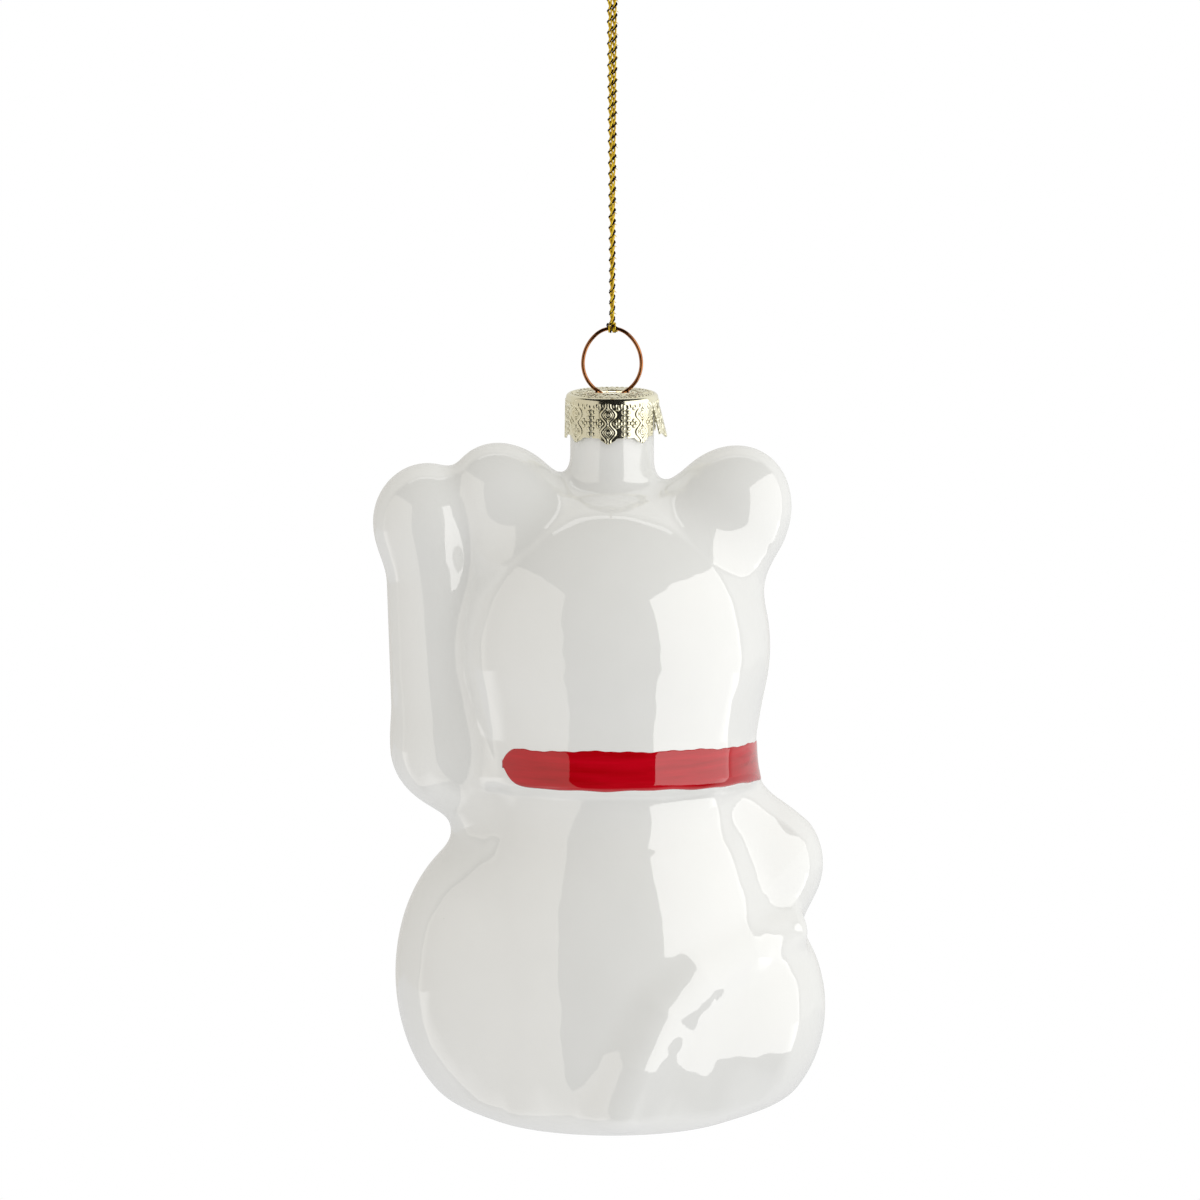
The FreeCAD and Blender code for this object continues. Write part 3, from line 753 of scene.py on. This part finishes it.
EMBOSS = 0.14            # height of the pressed pattern
PATTERN_FOOT = 0.9       # of the lower lozenge's middle, above the panel's straight edge
PATTERN_FADE = (0.15, 0.2)       # where the pattern ends below the rim, and over how much
LOZENGES = 2
LOZENGE_STEP = 2.7       # from one lozenge of a panel to the next
LOZENGE_HALF = 0.58      # mean half width of a lozenge
LOZENGE_SWAY = 0.42      # how much that changes
LOZENGE_LINE = 0.17      # half width of its line
INNER_LINE = 0.08        # half width of the line inside it
INNER_GAP = 0.36
INNER_FROM = 0.5         # half width of a lozenge where the inner line starts
RING_R = 0.32            # of the ring in a lozenge's middle
RING_LINE = 0.11
PIP_R = 0.12
BEAD_R = 0.2
BEAD_RISE = 0.9          # height of a bead, as a share of a lozenge's
FAINT_RISE = 0.8         # the same for the inner lines and the beads at the slits
DIAMOND = ((1.05, 0.0), (1.45, 0.42), (1.45, -0.42), (1.85, 0.0))    # beads by a waist
SLIT_BEADS = 6
SLIT_BEAD_X = 2.3
SLIT_BEAD_FOOT = 0.6
SLIT_BEAD_STEP = 0.84

# radius, count and bead radius of the top's rings of beads
DISC_BEADS = ((5.95, 48, 0.25), (3.35, 30, 0.2))
DISC_LOZENGES = 2 * PANELS
DISC_LOZENGE_R = 4.65    # of the ring of lozenges between them
DISC_LOZENGE_HALF = (0.75, 0.8)          # round the ring and across it
DISC_LOZENGE_LEVEL = 0.75
DISC_LOZENGE_LINE = 0.24
DISC_PIP_R = 0.17


def bead(distance, radius):
    """Height of a round bead or ridge at a distance from its middle, 0 to 1."""
    return np.sqrt(np.clip(1.0 - (distance / radius) ** 2, 0.0, 1.0))


def panel_relief(x, z):
    """Height of the pattern on a panel, 0 to 1: two ringed lozenges, with diamonds of beads
    beside their waists and a row of beads at each slit."""
    up = z - (CAP_TOP - CAP_SKIRT)
    x = np.abs(x)
    phase = 2.0 * math.pi * (up - PATTERN_FOOT) / LOZENGE_STEP
    half = LOZENGE_HALF + LOZENGE_SWAY * np.cos(phase)
    inner = FAINT_RISE * bead(x - half + INNER_GAP, INNER_LINE) * (half > INNER_FROM)
    relief = np.maximum(bead(x - half, LOZENGE_LINE), inner)
    for step in range(LOZENGES):
        middle = PATTERN_FOOT + LOZENGE_STEP * step
        r = np.hypot(x, up - middle)
        relief = np.maximum(relief, bead(r - RING_R, RING_LINE))
        relief = np.maximum(relief, BEAD_RISE * bead(r, PIP_R))
        for side, rise in DIAMOND:
            r = np.hypot(x - side, up - middle - 0.5 * LOZENGE_STEP - rise)
            relief = np.maximum(relief, BEAD_RISE * bead(r, BEAD_R))
    for row in range(SLIT_BEADS):
        r = np.hypot(x - SLIT_BEAD_X, up - SLIT_BEAD_FOOT - SLIT_BEAD_STEP * row)
        relief = np.maximum(relief, FAINT_RISE * bead(r, BEAD_R))
    margin, depth = PATTERN_FADE
    fade = np.clip((CAP_TOP - RIM_ROUND - margin - z) / depth, 0.0, 1.0)
    return relief * fade


def from_nearest(turn, count):
    """The turn from the nearest of a count of places that are spread evenly round."""
    step = 2.0 * math.pi / count
    return ((turn / step + 0.5) % 1.0 - 0.5) * step


def disc_relief(r, turn):
    """Height of the pattern on the cap's top: beads round its rim and hole, lozenges between."""
    relief = np.zeros_like(r)
    for radius, count, size in DISC_BEADS:
        along = from_nearest(turn, count) * radius
        relief = np.maximum(relief, bead(np.hypot(along, r - radius), size))
    along = from_nearest(turn, DISC_LOZENGES) * DISC_LOZENGE_R
    out = r - DISC_LOZENGE_R
    half_along, half_out = DISC_LOZENGE_HALF
    diamond = np.abs(along) / half_along + np.abs(out) / half_out
    relief = np.maximum(relief, bead(diamond - DISC_LOZENGE_LEVEL, DISC_LOZENGE_LINE))
    return np.maximum(relief, bead(np.hypot(along, out), DISC_PIP_R))


def cap_columns():
    """Angles of the cap's columns: a slit's two sides, then what lies between it and the next."""
    half_slit = 0.5 * SLIT / CAP_R
    panel = np.linspace(half_slit, SECTOR - half_slit, CAP_COLUMNS)
    return np.concatenate([math.radians(CAP_TURN) + SECTOR * i + panel for i in range(PANELS)])


def cap_disc(turns):
    """The top of the cap, from the hole's raised lip out to the rim."""
    lip_radii, lip_rises = zip(*LIP)
    flat = np.linspace(DISC_R, CAP_R - RIM_ROUND, DISC_ROWS)
    radii = np.concatenate([lip_radii, flat])
    rises = np.concatenate([lip_rises, np.zeros(len(flat))])
    r, turn = np.meshgrid(radii, turns, indexing="ij")
    z = CAP_TOP + rises[:, None] + EMBOSS * disc_relief(r, turn) * (r >= DISC_R)
    return np.stack([r * np.cos(turn), r * np.sin(turn), z], -1)


def cap_skirt(turns):
    """The rim and the eight panels of the skirt, and how many rows are above the slits."""
    from_slit = (turns - math.radians(CAP_TURN)) % SECTOR
    x = (from_slit - 0.5 * SECTOR) * CAP_R
    lobe = LOBE * np.clip(1.0 - np.abs(x) / LOBE_HALF, 0.0, 1.0) ** LOBE_SHAPE
    foot = CAP_TOP - CAP_SKIRT - lobe
    bend = np.linspace(0.0, 0.5 * math.pi, 7)
    upper = np.linspace(CAP_TOP - RIM_ROUND, SLIT_TOP, 8)[1:]
    levels = np.concatenate([CAP_TOP - RIM_ROUND * (1.0 - np.cos(bend)), upper])
    radii = np.concatenate([CAP_R - RIM_ROUND * (1.0 - np.sin(bend)), np.full(len(upper), CAP_R)])
    rows_z = [np.full_like(turns, z) for z in levels]
    rows_r = [np.full_like(turns, r) for r in radii]
    for share in np.linspace(0.0, 1.0, CAP_ROWS)[1:]:
        rows_z.append(SLIT_TOP + (foot - SLIT_TOP) * share)
        rows_r.append(np.full_like(turns, CAP_R))
    z, r = np.array(rows_z), np.array(rows_r)
    r = r + EMBOSS * panel_relief(x[None], z)
    down = np.clip((SLIT_TOP - z) / CAP_SKIRT, 0.0, 1.0)
    r = r + SWELL * down * np.cos(x / SWELL_WIDTH) ** 2
    points = np.stack([r * np.cos(turns), r * np.sin(turns), z], -1)
    return points, len(levels)


def bent_out(points, turns):
    """The same points, with one panel bent away from the neck about its top edge."""
    first = math.radians(CAP_TURN)
    chosen = ((turns - first) % (2.0 * math.pi)) // SECTOR == BENT_PANEL
    middle = first + (BENT_PANEL + 0.5) * SECTOR
    out = np.array([math.cos(middle), math.sin(middle), 0.0])
    hinge = out * CAP_R * math.cos(0.5 * SECTOR) + np.array([0.0, 0.0, SLIT_TOP])
    rest = points[:, chosen] - hinge
    side, up = rest @ out, rest[..., 2]
    angle = math.radians(BENT_ANGLE) * np.clip(-up / BENT_ROOT, 0.0, 1.0)
    swung = side * np.cos(angle) - up * np.sin(angle)
    moved = rest + (swung - side)[..., None] * out
    moved[..., 2] = side * np.sin(angle) + up * np.cos(angle)
    bent = points.copy()
    bent[:, chosen] = moved + hinge
    return bent


def pressed_sheet(name, points, faces, replaces):
    """A sheet of tinplate, given its thickness inwards from the pressed face."""
    mesh_data = points.reshape(-1, 3), faces
    obj = piece(name, mesh_data, [TINPLATE], "cap", replaces)
    thicken = obj.modifiers.new("sheet", "SOLIDIFY")
    thicken.thickness = SHEET * MM
    thicken.offset = -1.0


def ornament_cap():
    turns = cap_columns()
    count = len(turns)
    disc = cap_disc(turns)
    disc_faces = grid_faces(len(disc), count, wrap_columns=True)
    pressed_sheet("cap_top", disc, disc_faces, ["ornament_cap"])
    skirt, uncut_rows = cap_skirt(turns)
    faces = grid_faces(len(skirt), count, wrap_columns=True).reshape(len(skirt) - 1, count, 4)
    beside_slit = np.arange(count) % CAP_COLUMNS == CAP_COLUMNS - 1
    uncut = faces[: uncut_rows - 1].reshape(-1, 4)
    cut = faces[uncut_rows - 1 :, ~beside_slit].reshape(-1, 4)
    pressed_sheet("cap_skirt", bent_out(skirt, turns), np.concatenate([uncut, cut]), [])


# ---------------------------------------------------------------- cord

WIRE_R = 0.28
RING_TOP = 122.1
STRAND_OFF = 0.38        # from the middle of the pair to each strand
STRAND_FOOT = RING_TOP + 0.4
CORD_TOP = 181.0
STRAND_TOP = CORD_TOP - 0.5
# how far up the cord the pair has turned to each angle, from front to back to side by side
STRAND_TURNS = ((0.0, 90.0), (0.33, 72.0), (0.67, 30.0), (1.0, 0.0))
STRAND_PHASE = 0.4       # of the twist in each strand

CHAIN = 1.65             # from one stitch of a strand to the next
YARN_STEP = 0.11         # length of the mesh's faces along it
PLY_OFF = 0.20
PLY_R = 0.145
PLY_SIDES = 8
THREAD_R = 0.14
THREAD_OUT = 0.04        # how much farther out than the plies it lies
THREAD_SWAY = 0.11       # how far it goes out and in at each stitch
THREAD_SIDES = 6
HAIR = 0.42              # length of the stray ends of foil
HAIR_ROOT = 0.22         # how far out of the strand's middle they start
HAIR_RADII = (0.07, 0.055, 0.02)
HAIR_SIDES = 4
HAIR_BACK = (0.3, 1.7)           # how far they stand to the front and back, and its turn
HAIR_DROP = (0.75, 0.25, 2.4)    # how steeply they fall, how much that changes, and its turn

HITCH_HALF = 0.62        # half of the wraps' width along the wire
HITCH_R = 0.48           # of the wraps round the wire
HITCH_TURNS = 2.5
HITCH_PLY = (0.13, 0.115)        # how far off the middle a ply is, and its radius
NECKLET_R = 0.34         # of the loop that holds the pair together over the wire
NECKLET_RISE = 0.42
NECKLET_TILT = 0.12
NECKLET_PLY = (0.11, 0.10)
NECKLET_PHASE = 1.0

KNOT_MIDDLE = CORD_TOP + 1.2
KNOT_SIZE = (0.405, 0.378, 0.837)
KNOT_PLY = (0.21, 0.19)
END_FOOT = 0.6           # where the two short ends leave the knot, above its middle
END_RISE = 5.2
END_SPREAD = (0.25, 0.9)         # to the side at an end's foot, and how much more at its tip
END_CURL = 1.6
END_WAVE = (0.2, 3.0)            # height and turn of an end's bend to the back


def strand_route(side):
    """One half of the doubled cord. The pair lies front to back at the ring and side by side
    at the knot."""
    rise = STRAND_TOP - STRAND_FOOT
    route = []
    for share, degrees in STRAND_TURNS:
        turn = math.radians(degrees)
        off = side * STRAND_OFF
        route.append((off * math.cos(turn), off * math.sin(turn), STRAND_FOOT + rise * share))
    return route


def nurbs_line(points):
    """Points along the smooth line that has these control points."""
    data = bpy.data.curves.new("route", "CURVE")
    data.dimensions = "3D"
    data.resolution_u = 64
    spline = data.splines.new("NURBS")
    spline.points.add(len(points) - 1)
    for point, place_mm in zip(spline.points, points):
        point.co = (*place_mm, 1.0)
    spline.order_u = 3
    spline.use_endpoint_u = True
    holder = bpy.data.objects.new("route", data)
    mesh = bpy.data.meshes.new_from_object(holder)
    line = np.array([v.co for v in mesh.vertices])
    bpy.data.objects.remove(holder)
    bpy.data.curves.remove(data)
    bpy.data.meshes.remove(mesh)
    return line


def yarn(path, off=PLY_OFF, ply=PLY_R, phase=0.0):
    """Two gold plies and a dark thread, twisted along a path, which show as gold stitches with
    dark dots at both sides."""
    path = resampled(path, YARN_STEP)
    s = arc_lengths(path)
    parts = []
    for k in range(2):
        angles = phase + math.pi * k + math.pi * s / CHAIN
        parts.append(swept(beside(path, angles, np.full(len(s), off)), ply, PLY_SIDES))
    angles = phase + 2.0 * math.pi * s / CHAIN
    reach = off + THREAD_OUT + THREAD_SWAY * np.cos(2.0 * angles)
    parts.append(swept(beside(path, angles, reach), THREAD_R, THREAD_SIDES))
    return parts


def hairs(path, side):
    """Short stray ends of the gold foil, one at each stitch, on the pair's outer side."""
    path = resampled(path, CHAIN)[1:-1]
    parts = []
    for i, stitch in enumerate(path):
        back = HAIR_BACK[0] * math.sin(HAIR_BACK[1] * i)
        drop = HAIR_DROP[0] - HAIR_DROP[1] * math.sin(HAIR_DROP[2] * i)
        way = HAIR * np.array([side, back, -drop])
        root = stitch + np.array([side * HAIR_ROOT, 0.0, 0.0])
        line = root + np.outer(np.linspace(0.0, 1.0, len(HAIR_RADII)), way)
        parts.append(swept(line, np.array(HAIR_RADII), HAIR_SIDES))
    return parts


def dark_marks(marks, threads):
    """1 for the faces of the parts that are dark threads, and 0 for the rest."""
    return np.isin(marks, threads).astype(int)


def cord_strand(side, name, node):
    line = nurbs_line(strand_route(side))
    parts = yarn(line, phase=STRAND_PHASE * side)
    if side < 0:
        parts += hairs(line, side)
    mesh_data, marks = joined(parts)
    dark = dark_marks(marks, [2])
    strand = piece(name, mesh_data, [LUREX, DARK_THREAD], "cord", [node], dark)


def cord_hitch():
    """The cord's wraps round the top of the ring, and the loop of it above them."""
    turn = np.linspace(-0.5 * math.pi, (2.0 * HITCH_TURNS - 0.5) * math.pi, 120)
    along = np.linspace(-HITCH_HALF, HITCH_HALF, len(turn))
    height = RING_TOP - WIRE_R + HITCH_R * np.sin(turn)
    parts = yarn(np.stack([along, HITCH_R * np.cos(turn), height], -1), *HITCH_PLY)
    turn = np.linspace(0.0, 2.0 * math.pi, 50)
    height = RING_TOP + NECKLET_RISE + NECKLET_TILT * np.sin(turn)
    loop = np.stack([NECKLET_R * np.cos(turn), NECKLET_R * np.sin(turn), height], -1)
    parts += yarn(loop, *NECKLET_PLY, phase=NECKLET_PHASE)
    mesh_data, marks = joined(parts)
    dark = dark_marks(marks, [2, 5])
    piece("hitch", mesh_data, [LUREX, DARK_THREAD], "cord", ["cord_hitch"], dark)


def cord_knot():
    """The overhand knot that closes the loop, and its two short ends."""
    centre = np.array([0.0, 0.0, KNOT_MIDDLE])
    t = np.linspace(0.0, 2.0 * math.pi, 160)
    x = np.sin(t) + 2.0 * np.sin(2.0 * t)
    y = np.cos(t) - 2.0 * np.cos(2.0 * t)
    z = -np.sin(3.0 * t)
    parts = yarn(centre + np.stack([x, y, z], -1) * KNOT_SIZE, *KNOT_PLY)
    t = np.linspace(0.0, 1.0, 24)
    aside = END_SPREAD[0] + END_SPREAD[1] * t**END_CURL
    back = END_WAVE[0] * np.sin(END_WAVE[1] * t)
    for side in (-1, 1):
        end = np.stack([side * aside, back, END_FOOT + END_RISE * t], -1)
        parts += yarn(centre + end, phase=side)
    mesh_data, marks = joined(parts)
    dark = dark_marks(marks, [2, 5, 8])
    piece("knot", mesh_data, [LUREX, DARK_THREAD], "cord", ["cord_knot"], dark)


# ---------------------------------------------------------------- build the pieces

glass_cat()
painted_details()
ornament_cap()
cord_strand(1, "cord_left", "cord_strand_left")
cord_strand(-1, "cord_right", "cord_strand_right")
cord_hitch()
cord_knot()
for wire_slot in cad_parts["hanger_wire"].material_slots:
    wire_slot.material = COPPER

# ---------------------------------------------------------------- stage, light and camera

CAMERA_LENS = 250.0
SENSOR = 36.0
FRAME_MM = 183.8                 # height of the view at the ornament
CAMERA_ELEVATION = 9.0
VIEW_MIDDLE = (1.85, 0.0, 79.9)
LIGHT_MIDDLE = (0.0, 0.0, 60.0)  # what the softboxes face

FLOOR_DROP = 0.9                 # m below the ornament
FLOOR_HALF = 4.0
FLOOR_MIRRORED = 0.72            # the floor as it is mirrored, behind the ornament
FLOOR_DARK = 0.02                # and elsewhere
FLOOR_LIT_TO = (0.30, 0.80)      # where it starts to go dark towards the camera, and is dark, m
FLOOR_WIDER = 0.25               # how much farther out it does so at both sides
FLOOR_BEHIND = 0.80              # how far behind those places the sides aren't dark
FLOOR_GLOW = 0.80                # the floor's light on what isn't glossy
LEFT_GLOW = (0.56, 0.54, 0.50)   # the studio's light on what isn't glossy, from both sides
RIGHT_GLOW = (1.19, 1.19, 1.16)
GLOW_BELOW = 1.08                # how much stronger it is from below than from mid-height
GLOW_ABOVE = 0.92
LEFT_WALL = (0.64, 0.62, 0.58)   # the studio's pale back as it is mirrored
RIGHT_WALL = (0.85, 0.85, 0.84)
LEFT_WALL_AT = 0.75              # shares of the way from picture right to picture left
RIGHT_WALL_AT = 0.15
BACK_PALE_TO = 0.33              # shares of the way from the back of the studio to its front
BACK_DARK_FROM = 0.42
FRONT_DARK = (0.012, 0.012, 0.013)

# angle to the picture's right, angle up, distance, size in m, radiance and tint
SOFTBOXES = {
    "right_softbox": (68.0, 2.0, 0.75, (1.07, 1.10), 1.50, (1.0, 0.99, 0.97)),
    "left_softbox": (-69.0, -8.0, 0.80, (1.16, 1.7), 0.60, (1.0, 0.95, 0.87)),
    "top_strip": (0.0, 100.0, 1.00, (1.2, 0.08), 0.9, (1.0, 1.0, 1.0)),
}


def by_ray(tree, shown, mirrored, lighting):
    """What the camera sees, what is mirrored in gloss and metal, and what lights the rest."""
    path = tree.nodes.new("ShaderNodeLightPath")
    cast_light = mixed(tree, path.outputs["Is Glossy Ray"], lighting, mirrored)
    return mixed(tree, path.outputs["Is Camera Ray"], cast_light, shown)


def halfway(tree, value):
    """From -1..1 to 0..1."""
    half = arithmetic(tree, "MULTIPLY", value, 0.5)
    return arithmetic(tree, "ADD", half, 0.5)


def grey(level):
    return colour(level, level, level)


def studio_world():
    """A pale studio, warmer and dimmer at the picture's left. In gloss only its back is pale,
    because the softboxes show there over what is behind them."""
    world = bpy.data.worlds.new("studio")
    world.use_nodes = True
    tree = world.node_tree
    way = split(tree, coordinates(tree, "Generated"))
    leftwards, forwards, upwards = (halfway(tree, way[axis]) for axis in "XYZ")
    pale, dark = (BACK_PALE_TO, grey(1.0)), (BACK_DARK_FROM, colour(*FRONT_DARK))
    room = ramp(tree, forwards, pale, dark)
    right, left = (RIGHT_WALL_AT, colour(*RIGHT_WALL)), (LEFT_WALL_AT, colour(*LEFT_WALL))
    walls = ramp(tree, leftwards, right, left)
    glow = ramp(tree, leftwards, (0.0, colour(*RIGHT_GLOW)), (1.0, colour(*LEFT_GLOW)))
    fall = ramp(tree, upwards, (0.0, grey(GLOW_BELOW)), (1.0, grey(GLOW_ABOVE)))
    mirrored = multiplied(tree, room, walls)
    lighting = multiplied(tree, glow, fall)
    seen = by_ray(tree, grey(1.0), mirrored, lighting)
    tree.links.new(seen, tree.nodes["Background"].inputs["Color"])
    bpy.context.scene.world = world


def floor_paint():
    m = bpy.data.materials.new("studio_floor")
    m.use_nodes = True
    tree = m.node_tree
    tree.nodes.remove(tree.nodes["Principled BSDF"])
    where = split(tree, coordinates(tree))
    aside = arithmetic(tree, "ABSOLUTE", where["X"])
    at_side = arithmetic(tree, "SUBTRACT", aside, FLOOR_WIDER)
    not_behind = arithmetic(tree, "ADD", where["Y"], FLOOR_BEHIND)
    beside_cat = arithmetic(tree, "MINIMUM", at_side, not_behind)
    reach = arithmetic(tree, "MAXIMUM", beside_cat, where["Y"])
    lit, dark = (FLOOR_LIT_TO[0], grey(FLOOR_MIRRORED)), (FLOOR_LIT_TO[1], grey(FLOOR_DARK))
    mirrored = ramp(tree, reach, lit, dark)
    glow = tree.nodes.new("ShaderNodeEmission")
    tint = by_ray(tree, grey(1.0), mirrored, grey(FLOOR_GLOW))
    tree.links.new(tint, glow.inputs["Color"])
    tree.links.new(glow.outputs[0], tree.nodes["Material Output"].inputs["Surface"])
    return m


def studio_floor():
    mesh = bpy.data.meshes.new("studio_floor")
    half = FLOOR_HALF
    z = cad_box[0][2] - FLOOR_DROP
    corners = [(-half, -half, z), (half, -half, z), (half, half, z), (-half, half, z)]
    mesh.from_pydata(corners, [], [(0, 1, 2, 3)])
    mesh.materials.append(floor_paint())
    floor = bpy.data.objects.new("studio_floor", mesh)
    bpy.context.collection.objects.link(floor)


def aim(obj, target):
    obj.rotation_euler = (Vector(target) - obj.location).to_track_quat("-Z", "Y").to_euler()


def from_angles(target, distance, side, up):
    """A point at a distance from target. Side is to the picture's right of the camera."""
    side, up = math.radians(side), math.radians(up)
    way = (-math.sin(side) * math.cos(up), math.cos(side) * math.cos(up), math.sin(up))
    return Vector(target) + distance * Vector(way)


def camera(target):
    data = bpy.data.cameras.new("camera")
    data.lens = CAMERA_LENS
    data.sensor_width = SENSOR
    cam = bpy.data.objects.new("camera", data)
    bpy.context.collection.objects.link(cam)
    distance = CAMERA_LENS / SENSOR * FRAME_MM * MM
    cam.location = from_angles(target, distance, 0.0, CAMERA_ELEVATION)
    aim(cam, target)
    bpy.context.scene.camera = cam


def softbox(name, target, side, up, distance, size, radiance, tint):
    """A lit panel that shows only in gloss and metal. The studio's own glow lights the rest."""
    data = bpy.data.lights.new(name, "AREA")
    data.shape = "RECTANGLE"
    data.size, data.size_y = size
    data.energy = radiance * math.pi * size[0] * size[1]
    data.color = tint
    light = bpy.data.objects.new(name, data)
    bpy.context.collection.objects.link(light)
    light.location = from_angles(target, distance, side, up)
    light.visible_camera = False
    light.visible_diffuse = False
    aim(light, target)


studio_world()
studio_floor()
camera(Vector(row_points(VIEW_MIDDLE)))
for softbox_name, settings in SOFTBOXES.items():
    softbox(softbox_name, Vector(row_points(LIGHT_MIDDLE)), *settings)
bpy.context.scene.view_settings.view_transform = "Standard"
